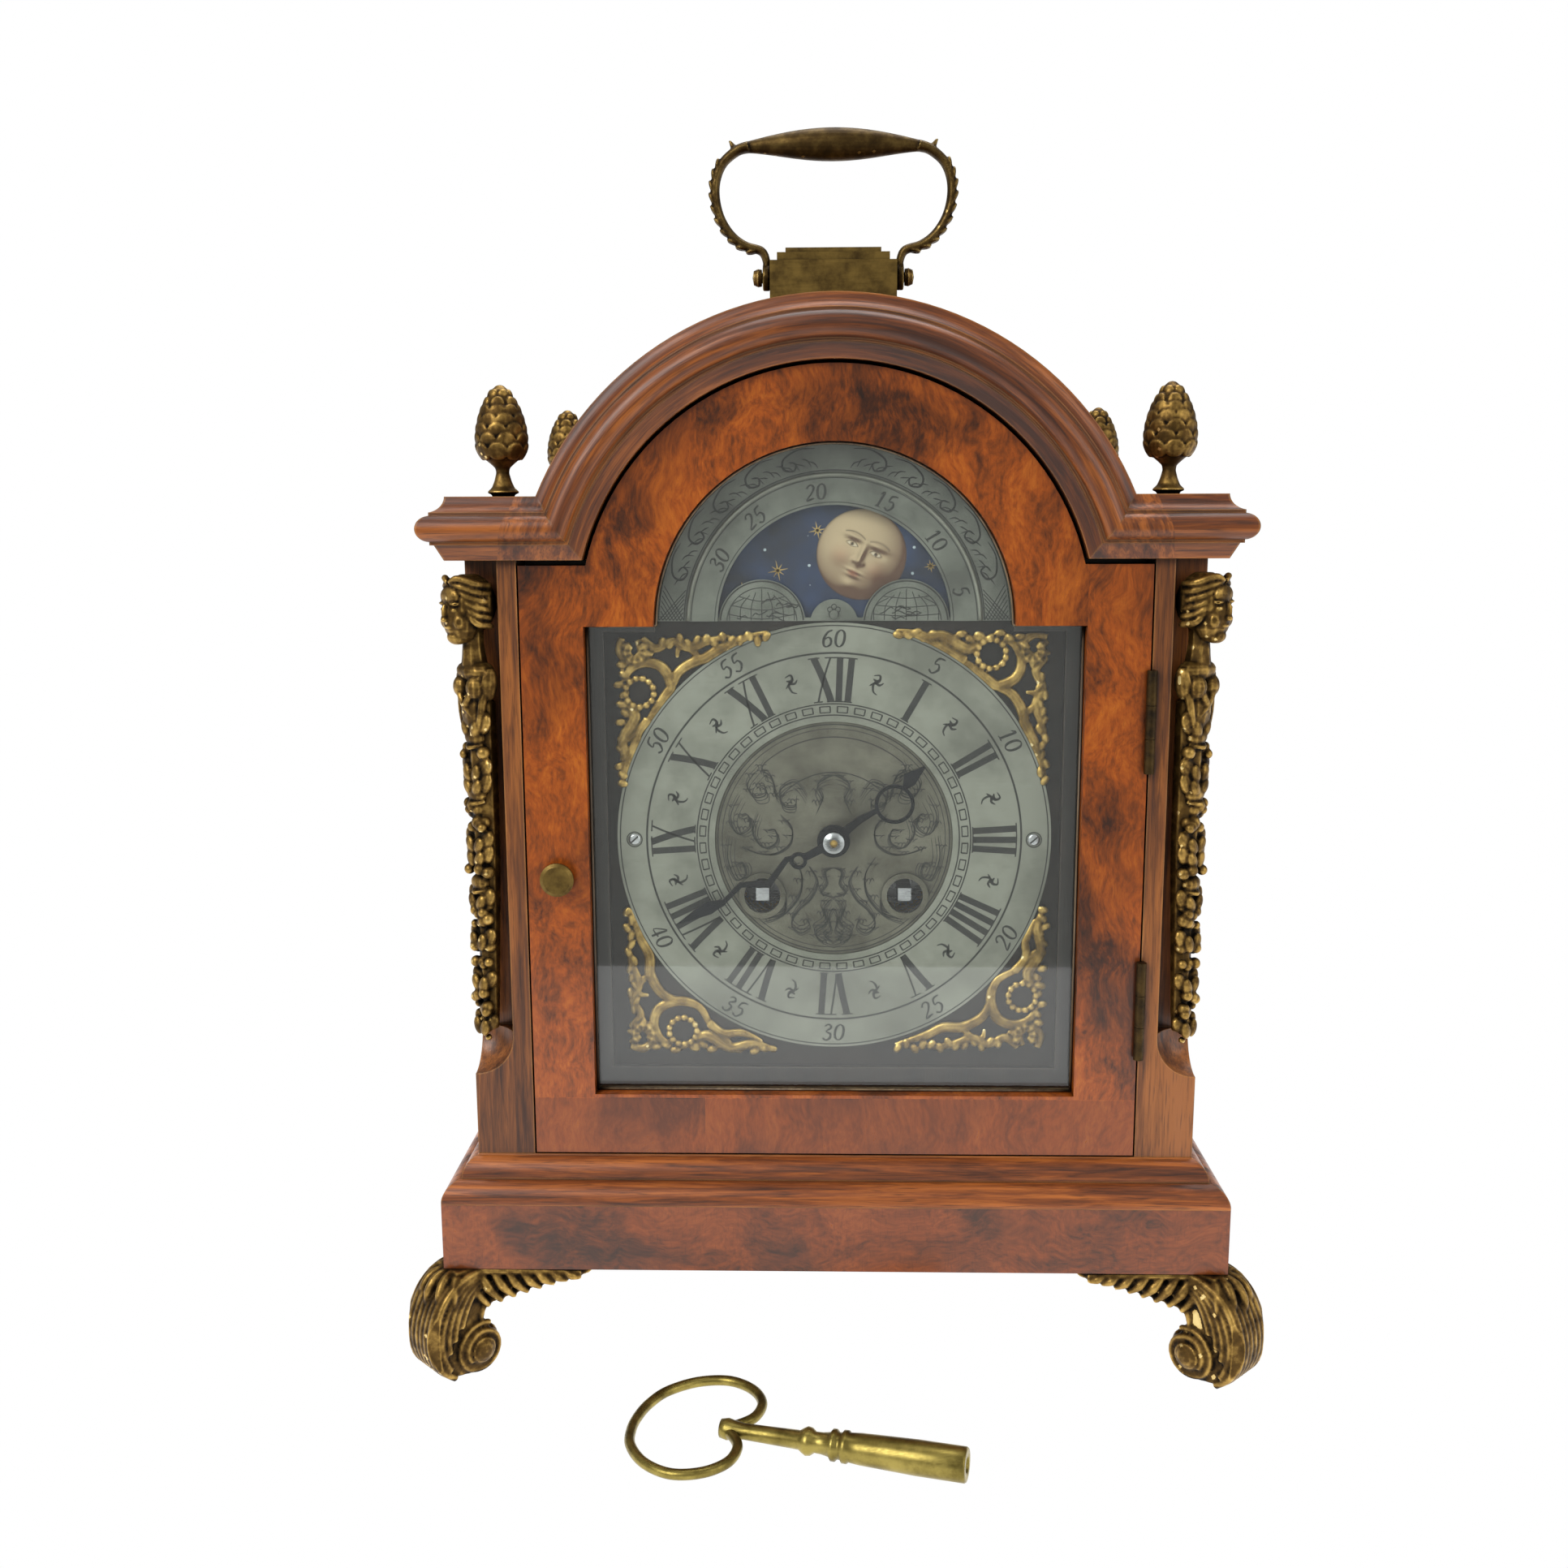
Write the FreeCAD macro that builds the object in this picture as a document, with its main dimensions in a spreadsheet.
"""Break-arch bracket clock with moon dial, eight-day going and strike trains and a winding key.

Millimetres. X runs to the right of the dial, Y from the dial to the back, Z up.
The origin is on the floor, under the middle of the case.
"""
import FreeCAD
import Part
import math
import os

import Sketcher

Vector = FreeCAD.Vector
Rotation = FreeCAD.Rotation
Placement = FreeCAD.Placement

DIMENSIONS = {
    # case
    "case_half_width": 108.8,
    "case_half_depth": 73.0,
    "case_foot_z": 66.8,
    "case_top_z": 247.1,
    "side_board": 12.0,
    "post_depth": 17.4,
    "recess_size": 11.8,
    "recess_stop_z": 104.2,
    # plinth and base moulding
    "foot_height": 33.7,
    "plinth_height": 20.5,
    "plinth_overhang": 9.9,
    "plinth_wall": 18.0,
    "base_moulding_wall": 12.8,
    # cornice and break arch
    "cornice_height": 18.0,
    "cornice_depth": 18.0,
    "cornice_low_overhang": 2.6,
    "cornice_bead_overhang": 9.1,
    "cornice_bead_root": 5.8,
    "cornice_top_overhang": 2.0,
    "cornice_bead_height": 7.4,
    "arch_centre_z": 228.0,
    "arch_inner_radius": 74.5,
    "roof_board": 8.0,
    "deck_inner_half": 75.0,
    # front door
    "post_width": 17.4,
    "door_top_gap": 1.6,
    "door_thick": 12.0,
    "door_gap": 0.5,
    "door_arch_gap": 1.0,
    "door_stile": 18.4,
    "door_bottom_rail": 18.7,
    "opening_arch_radius": 52.2,
    "sight_depth": 4.5,
    "glass_rebate": 3.0,
    "glass_thick": 2.0,
    "bead_thick": 2.6,
    "knob_radius": 5.0,
    "knob_reach": 4.2,
    "knob_inset": 9.2,
    "knob_z": 153.7,
    # butt hinges of the front door
    "hinge_length": 30.0,
    "hinge_low_z": 98.5,
    "hinge_high_z": 185.3,
    "hinge_leaf": 0.8,
    "hinge_leaf_deep": 9.0,
    "knuckle_radius": 1.5,
    "hinge_pin_radius": 0.7,
    "running_clearance": 0.05,
    # rear door
    "rear_door_thick": 11.2,
    "rear_stile": 24.8,
    "rear_bottom_rail": 20.7,
    "rear_top_rail": 20.6,
    "rear_pin_radius": 1.5,
    "rear_pin_length": 14.0,
    "rear_pin_in": 2.8,
    # side windows
    "window_half_width": 42.0,
    "window_centre_y": 2.7,
    "window_foot_z": 92.0,
    "window_spring_z": 182.0,
    "window_rebate": 4.0,
    # dial
    "mask_thick": 5.0,
    "mask_half_width": 68.3,
    "mask_foot_z": 90.6,
    "mask_shoulder_z": 225.5,
    "mask_arch_radius": 53.0,
    "mask_behind_door": 0.6,
    "dial_rebate": 2.2,
    "dial_rebate_deep": 2.0,
    "dial_plate_thick": 1.6,
    "dial_centre_z": 162.6,
    "chapter_radius": 65.6,
    "chapter_inner_radius": 36.0,
    "chapter_thick": 1.2,
    "centre_thick": 0.6,
    "moon_window_radius": 34.4,
    "moon_disc_radius": 40.0,
    "moon_disc_thick": 0.8,
    "lunar_rim_radius": 43.2,
    "lunar_rim_thick": 1.0,
    "arch_plate_radius": 52.6,
    "hump_radius": 12.8,
    "hump_x": 21.3,
    "small_hump_radius": 7.0,
    "winding_x": 21.7,
    "winding_drop": 17.5,
    "winding_hole_radius": 5.5,
    "collet_width": 1.6,
    "dial_centre_hole": 4.6,
    # hands
    "minute_hand_length": 53.4,
    "hour_hand_length": 35.6,
    "hand_thick": 0.8,
    "minute_hand_turn": 241.8,
    "hour_hand_turn": 50.15,
    # movement
    "front_plate_y": -40.0,
    "plate_space": 38.0,
    "plate_thick": 2.0,
    "plate_half_width": 47.0,
    "plate_low_z": 118.0,
    "plate_high_z": 211.0,
    "pillar_radius": 3.0,
    "pivot_radius": 0.5,
    "fine_arbor_radius": 0.7,
    "arbor_radius": 1.2,
    "barrel_arbor_radius": 3.0,
    "barrel_radius": 18.4,
    "barrel_length": 24.0,
    "winding_square": 4.0,
    "train_module": 0.683,
    "second_module": 0.48,
    "centre_module": 0.395,
    "third_module": 0.40,
    "motion_module": 0.55,
    "wheel_thick": 1.4,
    "escape_radius": 11.5,
    "bob_height": 20.2,
    "bob_radius": 13.0,
    "bob_thick": 6.0,
    "pallet_gap": 1.0,
    # bell and hammer
    "bell_radius": 29.0,
    "bell_height": 20.0,
    "bell_wall": 1.6,
    "bell_rim_z": 226.0,
    "bell_thread_radius": 1.5,
    "hammer_gap": 1.0,
    # carrying handle
    "pad_half_width": 20.0,
    "pad_half_depth": 12.0,
    "pad_top_z": 342.6,
    "pad_step": 2.2,
    "handle_pivot_z": 334.3,
    "handle_top_z": 380.0,
    "handle_half_width": 40.5,
    "grip_radius": 5.0,
    "lug_radius": 4.0,
    "lug_thick": 2.2,
    "lug_gap": 0.4,
    "stud_radius": 1.6,
    # feet
    "foot_width": 15.0,
    "foot_reach": 9.3,
    "wing_length": 46.0,
    "wing_thick": 6.0,
    # finials
    "finial_height": 32.3,
    "finial_radius": 8.0,
    "finial_inset": 12.0,
    "finial_front_y": -60.0,
    "finial_rear_y": 62.0,
    # corner figures
    "figure_head_radius": 7.6,
    "figure_clearance": 0.35,
    # winding key
    "key_length": 98.0,
    "key_barrel_radius": 4.7,
    "key_bow_width": 52.0,
    "key_bow_length": 36.0,
    "key_wire_radius": 1.5,
    "key_end_x": 36.0,
    "key_end_y": -137.0,
    "key_turn": -16.2,
}

doc = FreeCAD.newDocument("bracket_clock")
sheet = doc.addObject("Spreadsheet::Sheet", "dim")


class Size:
    """A length with its value and the sheet formula that gives it."""

    def __init__(self, value, text):
        self.value = float(value)
        self.text = text

    def __float__(self):
        return self.value

    def __add__(self, other):
        return joined(self, "+", other)

    def __radd__(self, other):
        return joined(other, "+", self)

    def __sub__(self, other):
        return joined(self, "-", other)

    def __rsub__(self, other):
        return joined(other, "-", self)

    def __mul__(self, other):
        return joined(self, "*", other)

    def __rmul__(self, other):
        return joined(other, "*", self)

    def __truediv__(self, other):
        return joined(self, "/", other)

    def __neg__(self):
        return joined(0, "-", self)


def formula(item):
    """The sheet formula of a Size or a plain number."""
    if isinstance(item, Size):
        return item.text
    return "(%r)" % float(item)


def joined(first, sign, second):
    one = float(first)
    two = float(second)
    value = {"+": one + two, "-": one - two, "*": one * two}.get(sign)
    if value is None:
        value = one / two
    return Size(value, "(%s%s%s)" % (formula(first), sign, formula(second)))


def root(item):
    """Square root that keeps its formula."""
    return Size(math.sqrt(float(item)), "sqrt(%s)" % formula(item))


class Sizes:
    """The driving dimensions, read from the sheet by name."""


D = Sizes()
for row, (alias, number) in enumerate(DIMENSIONS.items(), start=1):
    sheet.set("A%d" % row, alias)
    sheet.set("B%d" % row, str(number))
    sheet.setAlias("B%d" % row, alias)
doc.recompute()
for alias in DIMENSIONS:
    setattr(D, alias, Size(float(getattr(sheet, alias)), "dim." + alias))

SUBPARTS = []

# Places that several pieces share
front_y = -D.case_half_depth
back_y = D.case_half_depth
plinth_top_z = D.foot_height + D.plinth_height
plinth_half_width = D.case_half_width + D.plinth_overhang
plinth_half_depth = D.case_half_depth + D.plinth_overhang
cornice_top_z = D.case_top_z + D.cornice_height
arch_outer_radius = D.arch_inner_radius + D.cornice_height
cornice_back_y = front_y + D.cornice_depth
door_foot_z = D.case_foot_z + D.door_gap
door_arch_radius = D.arch_inner_radius - D.door_arch_gap
door_back_y = front_y + D.door_thick
door_half_width = D.case_half_width - D.post_width - D.door_gap
post_inner_x = D.case_half_width - D.post_width
post_back_y = front_y + D.post_depth
side_inner_x = D.case_half_width - D.side_board
rear_board_y = back_y - D.rear_door_thick - 0.8
glass_front_y = front_y + D.sight_depth
glass_back_y = glass_front_y + D.glass_thick
mask_front_y = door_back_y + D.mask_behind_door
mask_back_y = mask_front_y + D.mask_thick
dial_front_y = mask_front_y + D.dial_rebate_deep
dial_back_y = dial_front_y + D.dial_plate_thick
chapter_front_y = dial_front_y - D.chapter_thick
front_plate_back_y = D.front_plate_y + D.plate_thick
rear_plate_y = front_plate_back_y + D.plate_space
rear_plate_back_y = rear_plate_y + D.plate_thick
winding_z = D.dial_centre_z - D.winding_drop
opening_half_width = door_half_width - D.door_stile
opening_foot_z = door_foot_z + D.door_bottom_rail
knob_x = door_half_width - D.knob_inset
door_top_z = D.case_top_z - D.door_top_gap
rear_door_top_z = D.case_top_z - D.door_gap
rear_opening_half = D.case_half_width - D.rear_stile
rear_opening_foot_z = door_foot_z + D.rear_bottom_rail
rear_opening_top_z = rear_door_top_z - D.rear_top_rail
finial_x = D.case_half_width - D.finial_inset
hinge_axis_x = door_half_width + D.door_gap / 2
hinge_axis_y = front_y - D.knuckle_radius - 0.1


def keep(item, label):
    """Files an object as a sub-part of the clock under its own name."""
    item.Label = label
    SUBPARTS.append(item)
    return item


def bind(item, path, size):
    item.setExpression(path, formula(size))


def place(item, x, y, z, turn=None):
    """Places an object by sheet formulas, with a fixed turn."""
    if turn is not None:
        item.Placement = Placement(Vector(0, 0, 0), turn)
    bind(item, "Placement.Base.x", x)
    bind(item, "Placement.Base.y", y)
    bind(item, "Placement.Base.z", z)
    return item


def block(name, x0, x1, y0, y1, z0, z1):
    item = doc.addObject("Part::Box", name)
    bind(item, "Length", x1 - x0)
    bind(item, "Width", y1 - y0)
    bind(item, "Height", z1 - z0)
    return place(item, x0, y0, z0)


ALONG = {
    "x": Rotation(Vector(0, 1, 0), 90),
    "y": Rotation(Vector(1, 0, 0), -90),
    "z": Rotation(),
}


def rod(name, radius, length, x, y, z, along="z"):
    item = doc.addObject("Part::Cylinder", name)
    bind(item, "Radius", radius)
    bind(item, "Height", length)
    return place(item, x, y, z, ALONG[along])


def fused(name, pieces):
    item = doc.addObject("Part::MultiFuse", name)
    item.Shapes = pieces
    return item


def cut(name, base, tools):
    item = doc.addObject("Part::Cut", name)
    item.Base = base
    item.Tool = tools[0] if len(tools) == 1 else fused(name + "_tools", tools)
    return item


def feature(name, shape):
    item = doc.addObject("Part::Feature", name)
    item.Shape = shape
    return item


# Sketches for the plates and frames: each outline is a list of corners; a corner with a third
# entry (radius, centre) starts an arc to the next corner, run anticlockwise about that centre,
# or clockwise where the entry ends with CLOCKWISE.

CLOCKWISE = "clockwise"


def add_outline(sketch, corners):
    first = sketch.GeometryCount
    count = len(corners)
    ends = []
    for i, corner in enumerate(corners):
        after = corners[(i + 1) % count]
        start = Vector(float(corner[0]), float(corner[1]), 0)
        end = Vector(float(after[0]), float(after[1]), 0)
        if len(corner) == 2:
            sketch.addGeometry(Part.LineSegment(start, end), False)
            ends.append((1, 2))
            continue
        radius, centre = corner[2][:2]
        hub = Vector(float(centre[0]), float(centre[1]), 0)
        angle = math.atan2(start.y - hub.y, start.x - hub.x)
        sweep = (math.atan2(end.y - hub.y, end.x - hub.x) - angle) % (2 * math.pi)
        if len(corner[2]) > 2:
            sweep -= 2 * math.pi
        angle += sweep / 2
        middle = hub + Vector(math.cos(angle), math.sin(angle), 0) * float(radius)
        if sweep > 0:
            sketch.addGeometry(Part.Arc(start, middle, end), False)
            ends.append((1, 2))
        else:
            sketch.addGeometry(Part.Arc(end, middle, start), False)
            ends.append((2, 1))
    for i, corner in enumerate(corners):
        here = first + i
        after = first + (i + 1) % count
        link = Sketcher.Constraint("Coincident", here, ends[i][1], after, ends[(i + 1) % count][0])
        sketch.addConstraint(link)
        for kind, size in (("DistanceX", corner[0]), ("DistanceY", corner[1])):
            rule = Sketcher.Constraint(kind, -1, 1, here, ends[i][0], float(size))
            number = sketch.addConstraint(rule)
            sketch.setExpression("Constraints[%d]" % number, formula(size))
        if len(corner) > 2:
            height = corner[2][1][1]
            rule = Sketcher.Constraint("DistanceY", -1, 1, here, 3, float(height))
            number = sketch.addConstraint(rule)
            sketch.setExpression("Constraints[%d]" % number, formula(height))


def add_circle(sketch, x, y, radius):
    centre = Vector(float(x), float(y), 0)
    number = sketch.addGeometry(Part.Circle(centre, Vector(0, 0, 1), float(radius)), False)
    for kind, size in (("DistanceX", x), ("DistanceY", y)):
        rule = sketch.addConstraint(Sketcher.Constraint(kind, -1, 1, number, 3, float(size)))
        sketch.setExpression("Constraints[%d]" % rule, formula(size))
    rule = sketch.addConstraint(Sketcher.Constraint("Radius", number, float(radius)))
    sketch.setExpression("Constraints[%d]" % rule, formula(radius))


def layered(label, plane, layers):
    """A body of padded layers. Each layer is (start, thickness, outlines, circles).

    On the XZ plane start is the layer's back and the pad runs to the front; on the XY and YZ
    planes it is the low side and the pad runs up or to the right.
    """
    body = doc.addObject("PartDesign::Body", label + "_body")
    base = [o for o in body.Origin.OriginFeatures if o.Role == plane + "_Plane"][0]
    for i, (start, thickness, outlines, circles) in enumerate(layers):
        sketch = body.newObject("Sketcher::SketchObject", "%s_outline%d" % (label, i))
        sketch.AttachmentSupport = [(base, "")]
        sketch.MapMode = "FlatFace"
        bind(sketch, "AttachmentOffset.Base.z", -start if plane == "XZ" else start)
        for outline in outlines:
            add_outline(sketch, outline)
        for x, y, radius in circles:
            add_circle(sketch, x, y, radius)
        pad = body.newObject("PartDesign::Pad", "%s_pad%d" % (label, i))
        pad.Profile = sketch
        bind(pad, "Length", thickness)
    return keep(body, label)


def rectangle(x0, x1, z0, z1):
    return [(x0, z0), (x1, z0), (x1, z1), (x0, z1)]


def break_arch(half, low, shoulder, radius, centre=None):
    """Outline of a square field with a smaller arch over it."""
    centre = D.arch_centre_z if centre is None else centre
    rise = shoulder - centre
    foot = root(radius * radius - rise * rise)
    return [
        (-half, low),
        (half, low),
        (half, shoulder),
        (foot, shoulder, (radius, (0.0, centre))),
        (-foot, shoulder),
        (-half, shoulder),
    ]


def arched_window(centre, half, low, spring):
    return [
        (centre - half, low),
        (centre + half, low),
        (centre + half, spring, (half, (centre, spring))),
        (centre - half, spring),
    ]


# Shapes that are drawn straight with curves, lofts and turnings

def wire(points):
    """A closed wire through points; a pair of points inside the list is an arc's middle and end."""
    edges = []
    start = points[0]
    here = start
    for point in points[1:] + [start]:
        if isinstance(point, tuple):
            edges.append(Part.Arc(here, point[0], point[1]).toShape())
            here = point[1]
        else:
            edges.append(Part.LineSegment(here, point).toShape())
            here = point
    return Part.Wire(edges)


def prism(points, along):
    return Part.Face(wire(points)).extrude(along)


def turned(points, centre, axis):
    """A solid of revolution from (radius, height) points about an axis through centre."""
    corners = [Vector(float(r), 0, float(h)) for r, h in points]
    shape = Part.Face(Part.makePolygon(corners + [corners[0]])).revolve(
        Vector(0, 0, 0), Vector(0, 0, 1), 360)
    if shape.Volume < 0:
        shape.reverse()
    shape.rotate(Vector(0, 0, 0), *turn_from_z(axis))
    shape.translate(centre)
    return shape


def turn_from_z(axis):
    turn = Rotation(Vector(0, 0, 1), axis)
    return turn.Axis, math.degrees(turn.Angle)


def loft(rings):
    """A ruled solid through rings of points, with its faces looking outwards."""
    shape = Part.makeLoft([Part.makePolygon(ring + [ring[0]]) for ring in rings], True, True)
    if shape.Volume < 0:
        shape = Part.makeLoft([Part.makePolygon(ring[::-1] + [ring[-1]]) for ring in rings],
                              True, True)
    return shape


def tube(points, halves, across, sides=8):
    """A faceted tube along points that lie square to the vector across.

    halves gives each point's half thickness in the plane and half width along across.
    """
    rings = []
    count = len(points)
    for i, point in enumerate(points):
        before = points[max(i - 1, 0)]
        after = points[min(i + 1, count - 1)]
        run = (after - before).normalize()
        out = run.cross(across).normalize()
        thin, wide = halves[i]
        ring = []
        for k in range(sides):
            angle = 2 * math.pi * (k + 0.5) / sides
            ring.append(point + out * (math.cos(angle) * thin) + across * (math.sin(angle) * wide))
        rings.append(ring)
    return loft(rings)


def union(shapes):
    whole = shapes[0]
    if len(shapes) > 1:
        whole = whole.multiFuse(shapes[1:])
    return whole.removeSplitter()


def y_rod(radius, y0, y1, x, z):
    length = float(y1) - float(y0)
    base = Vector(float(x), float(y0), float(z))
    return Part.makeCylinder(float(radius), length, base, Vector(0, 1, 0))


def mirrored(shape):
    return shape.mirror(Vector(0, 0, 0), Vector(1, 0, 0))


# Case

def make_plinth():
    inner_x = plinth_half_width - D.plinth_wall
    inner_y = plinth_half_depth - D.plinth_wall
    outer = rectangle(-plinth_half_width, plinth_half_width, -plinth_half_depth, plinth_half_depth)
    inner = rectangle(-inner_x, inner_x, -inner_y, inner_y)
    layered("plinth", "XY", [(D.foot_height, D.plinth_height, [outer, inner], [])])


def make_base_moulding():
    """Mitred frame of two quarter beads, with sockets for the rear door's lower pin."""
    height = float(D.case_foot_z - plinth_top_z)
    out = float(D.plinth_overhang)
    step = out / 2
    rise = height / 2
    y = float(front_y)
    z = float(plinth_top_z)

    def at(p, t):
        return Vector(0, y - p, z + t)

    profile = wire([
        at(-float(D.base_moulding_wall), 0),
        at(out, 0),
        at(out, 0.9),
        (at(step + 3.6, rise * 0.68), at(step + 0.3, rise)),
        at(step - 0.4, rise),
        at(step - 0.4, rise + 0.7),
        (at(3.4, height * 0.80), at(0.4, height - 0.4)),
        at(0.0, height),
        at(-float(D.base_moulding_wall), height),
    ])
    x = float(D.case_half_width)
    corners = [(0, y), (x, y), (x, -y), (-x, -y), (-x, y), (0, y)]
    path = Part.makePolygon([Vector(a, b, z) for a, b in corners])
    frame = path.makePipeShell([profile], True, False, 1)
    pin_x, pin_y = rear_pin_place()
    hole = float(D.rear_pin_radius + D.running_clearance)
    depth = rear_pin_reach() + 0.3
    socket = Part.makeCylinder(hole, depth, Vector(pin_x, pin_y, float(D.case_foot_z) - depth))
    keep(feature("base_moulding_shape", frame.cut(socket)), "base_moulding")


def rear_pin_place():
    return float(D.case_half_width - D.rear_pin_in), float(back_y) - 6.0


def rear_pin_reach():
    """How far each rear door pin stands out of the door."""
    return float(D.rear_pin_length) / 2 - float(D.door_gap)


def make_bottom_board():
    half_x = D.case_half_width - D.base_moulding_wall
    half_y = D.case_half_depth - D.base_moulding_wall
    low = plinth_top_z
    keep(block("bottom_board_block", -half_x, half_x, -half_y, half_y, low, D.case_foot_z),
         "bottom_board")


def make_post(side, label):
    """Front corner post with its recess; the recess ends below in a scooped stop."""
    sign = -1 if side == "left" else 1
    x0 = -D.case_half_width if sign < 0 else post_inner_x
    x1 = -post_inner_x if sign < 0 else D.case_half_width
    post = block(label + "_block", x0, x1, front_y, post_back_y, D.case_foot_z, D.case_top_z)
    size = D.recess_size
    edge = sign * D.case_half_width
    rx0 = edge if sign < 0 else edge - size
    recess = block(label + "_recess", rx0, rx0 + size, front_y, front_y + size,
                   D.recess_stop_z, D.case_top_z)
    scoop = doc.addObject("Part::Sphere", label + "_scoop")
    bind(scoop, "Radius", size)
    place(scoop, edge, front_y, D.recess_stop_z)
    tools = [recess, scoop]
    if sign > 0:
        for i, low in enumerate((D.hinge_low_z, D.hinge_high_z)):
            tools.append(leaf_block("%s_leaf%d" % (label, i), "case", low))
    keep(cut(label + "_cut", post, tools), label)


def leaf_block(name, owner, low):
    """The room of one hinge leaf in the door's edge or in the post."""
    x0 = door_half_width - D.hinge_leaf if owner == "door" else post_inner_x
    return block(name, x0, x0 + D.hinge_leaf, front_y, front_y + D.hinge_leaf_deep,
                 low, low + D.hinge_length)


def make_side(side, label):
    """Side board with an arched window, rebated on the inside for its pane."""
    outer = rectangle(post_back_y, rear_board_y, D.case_foot_z, D.case_top_z)
    sight = arched_window(D.window_centre_y, D.window_half_width, D.window_foot_z,
                          D.window_spring_z)
    wide = arched_window(D.window_centre_y, D.window_half_width + D.window_rebate,
                         D.window_foot_z - D.window_rebate, D.window_spring_z)
    sight_layer = D.side_board - D.window_rebate
    if side == "left":
        layers = [
            (-D.case_half_width, sight_layer, [outer, sight], []),
            (-D.case_half_width + sight_layer, D.window_rebate, [outer, wide], []),
        ]
    else:
        layers = [
            (side_inner_x, D.window_rebate, [outer, wide], []),
            (side_inner_x + D.window_rebate, sight_layer, [outer, sight], []),
        ]
    layered(label, "YZ", layers)


def make_side_glasses():
    clear = 0.15
    half = float(D.window_half_width + D.window_rebate) - clear
    low = float(D.window_foot_z - D.window_rebate) + clear
    middle = float(D.window_centre_y)
    spring = float(D.window_spring_z)
    x = float(D.case_half_width - (D.side_board - D.window_rebate))
    panes = []
    for sign in (-1, 1):
        here = sign * x
        pane = prism([
            Vector(here, middle - half, low),
            Vector(here, middle + half, low),
            Vector(here, middle + half, spring),
            (Vector(here, middle, spring + half), Vector(here, middle - half, spring)),
        ], Vector(-sign * float(D.glass_thick), 0, 0))
        panes.append(pane)
    keep(feature("side_glass_panes", Part.makeCompound(panes)), "side_glasses")


def cornice_profile(at):
    """Section of the cornice in outward reach and height: bevel, bead between fillets, cavetto."""
    height = float(D.cornice_height)
    back = -float(D.cornice_depth)
    low = float(D.cornice_low_overhang)
    root_out = float(D.cornice_bead_root)
    bead = float(D.cornice_bead_overhang)
    top = float(D.cornice_top_overhang)
    half = float(D.cornice_bead_height) / 2
    middle = height / 2
    fillet = 0.9
    return wire([
        at(back, 0),
        at(low, 0),
        at(root_out - 1.0, middle - half - fillet),
        at(root_out, middle - half - fillet),
        at(root_out, middle - half),
        (at(bead, middle), at(root_out, middle + half)),
        at(root_out, middle + half + fillet),
        (at(top + 0.9, height - 2.6), at(top, height)),
        at(back, height),
    ])


def half_space(point, away):
    """A large block that fills the side of a plane that the vector away points to."""
    size = 4 * float(D.case_half_width)
    box = Part.makeBox(size, size, size, Vector(-size / 2, -size / 2, 0))
    turn = Rotation(Vector(0, 0, 1), away)
    box.Placement = Placement(point, turn)
    return box


def make_front_cornice():
    """Break-arch cornice: level arms mitred into the arch and, at 45 degrees, into the sides."""
    y = float(front_y)
    low = float(D.case_top_z)
    centre = float(D.arch_centre_z)
    inner = float(D.arch_inner_radius)
    outer = float(arch_outer_radius)
    top = float(cornice_top_z)
    reach = float(D.case_half_width + D.cornice_bead_overhang) + 1.0
    level = Part.Face(cornice_profile(lambda p, t: Vector(-reach, y - p, low + t)))
    level = level.extrude(Vector(2 * reach, 0, 0))
    arch = Part.Face(cornice_profile(lambda p, t: Vector(inner + t, y - p, centre)))
    arch = arch.revolve(Vector(0, 0, centre), Vector(0, -1, 0), 180)
    foot_x = math.sqrt(inner ** 2 - (low - centre) ** 2)
    head_x = math.sqrt(outer ** 2 - (top - centre) ** 2)
    slope = Vector(head_x - foot_x, 0, top - low).normalize()
    for sign in (-1, 1):
        outwards = Vector(sign * slope.z, 0, -slope.x)
        mitre = Vector(sign * foot_x, 0, low)
        arch = arch.cut(half_space(mitre, outwards))
        corner = Vector(sign * float(D.case_half_width), y, 0)
        level = level.cut(half_space(corner, Vector(sign, 1, 0)))
    inside = half_space(Vector(foot_x, 0, low), Vector(-slope.z, 0, slope.x))
    inside = inside.common(half_space(Vector(-foot_x, 0, low), Vector(slope.z, 0, slope.x)))
    level = level.cut(inside)
    shape = level.fuse(arch).removeSplitter()
    keep(feature("front_cornice_shape", shape), "front_cornice")
    return shape


def make_side_cornice(sign, label, front_shape):
    """Moulded deck along one side of the case, mitred to the front, with the finials' holes."""
    low = float(D.case_top_z)
    x = float(D.case_half_width)
    y0 = float(front_y) - float(D.cornice_bead_overhang) - 1.0
    inner = float(D.deck_inner_half) - x

    def at(p, t):
        reach = inner if p < -1 else p
        return Vector(x + reach, y0, low + t)

    shape = Part.Face(cornice_profile(at)).extrude(Vector(0, float(back_y) - y0, 0))
    deep = float(D.cornice_depth)
    far = 40.0
    front = prism([
        Vector(x + far, float(front_y) - far, low - 1),
        Vector(x - deep, float(cornice_back_y), low - 1),
        Vector(float(D.deck_inner_half) - 5, float(cornice_back_y), low - 1),
        Vector(float(D.deck_inner_half) - 5, float(front_y) - far, low - 1),
    ], Vector(0, 0, 60))
    shape = shape.cut(front).cut(front_shape)
    pin_x, pin_y = rear_pin_place()
    if sign > 0:
        hole = float(D.rear_pin_radius + D.running_clearance)
        shape = shape.cut(Part.makeCylinder(hole, rear_pin_reach() + 0.3,
                                            Vector(pin_x, pin_y, low)))
    if sign < 0:
        shape = mirrored(shape)
    keep(feature(label + "_shape", shape), label)


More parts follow.
